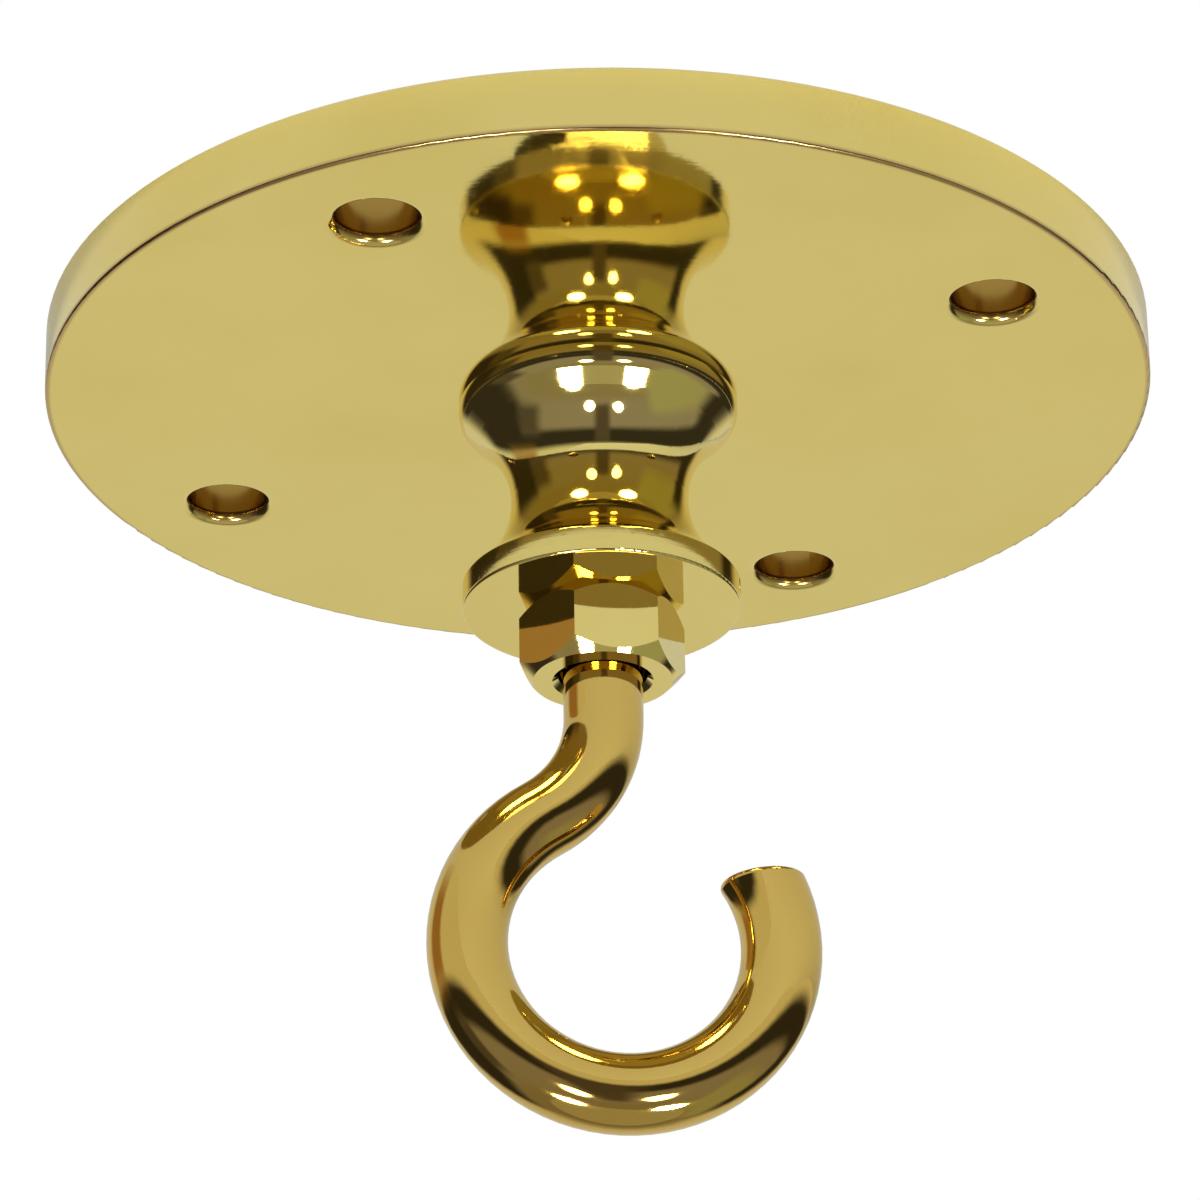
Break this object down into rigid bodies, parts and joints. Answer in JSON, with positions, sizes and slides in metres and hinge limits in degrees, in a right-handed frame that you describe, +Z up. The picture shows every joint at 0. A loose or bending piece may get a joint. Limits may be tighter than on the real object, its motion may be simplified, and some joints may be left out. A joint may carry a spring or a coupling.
{
  "type": "ceiling hook",
  "caption": "Polished brass ceiling hook: a round screw-down plate carries a turned spindle, and a hexagon nut locks an open hook bent from round rod below it.",
  "frame": {"origin": "middle of the plate's back, on the ceiling", "axes": "+Z up into the ceiling, the hook's loop in the XZ plane with its mouth towards +X"},
  "size_m": [0.1, 0.1, 0.076],
  "materials": {
    "polished_brass": "mirror polished"
  },
  "bodies": {
    "root": {"ceiling_plate": "polished_brass", "spindle": "polished_brass", "lock_nut": "polished_brass", "hook": "polished_brass"}
  },
  "joints": []
}
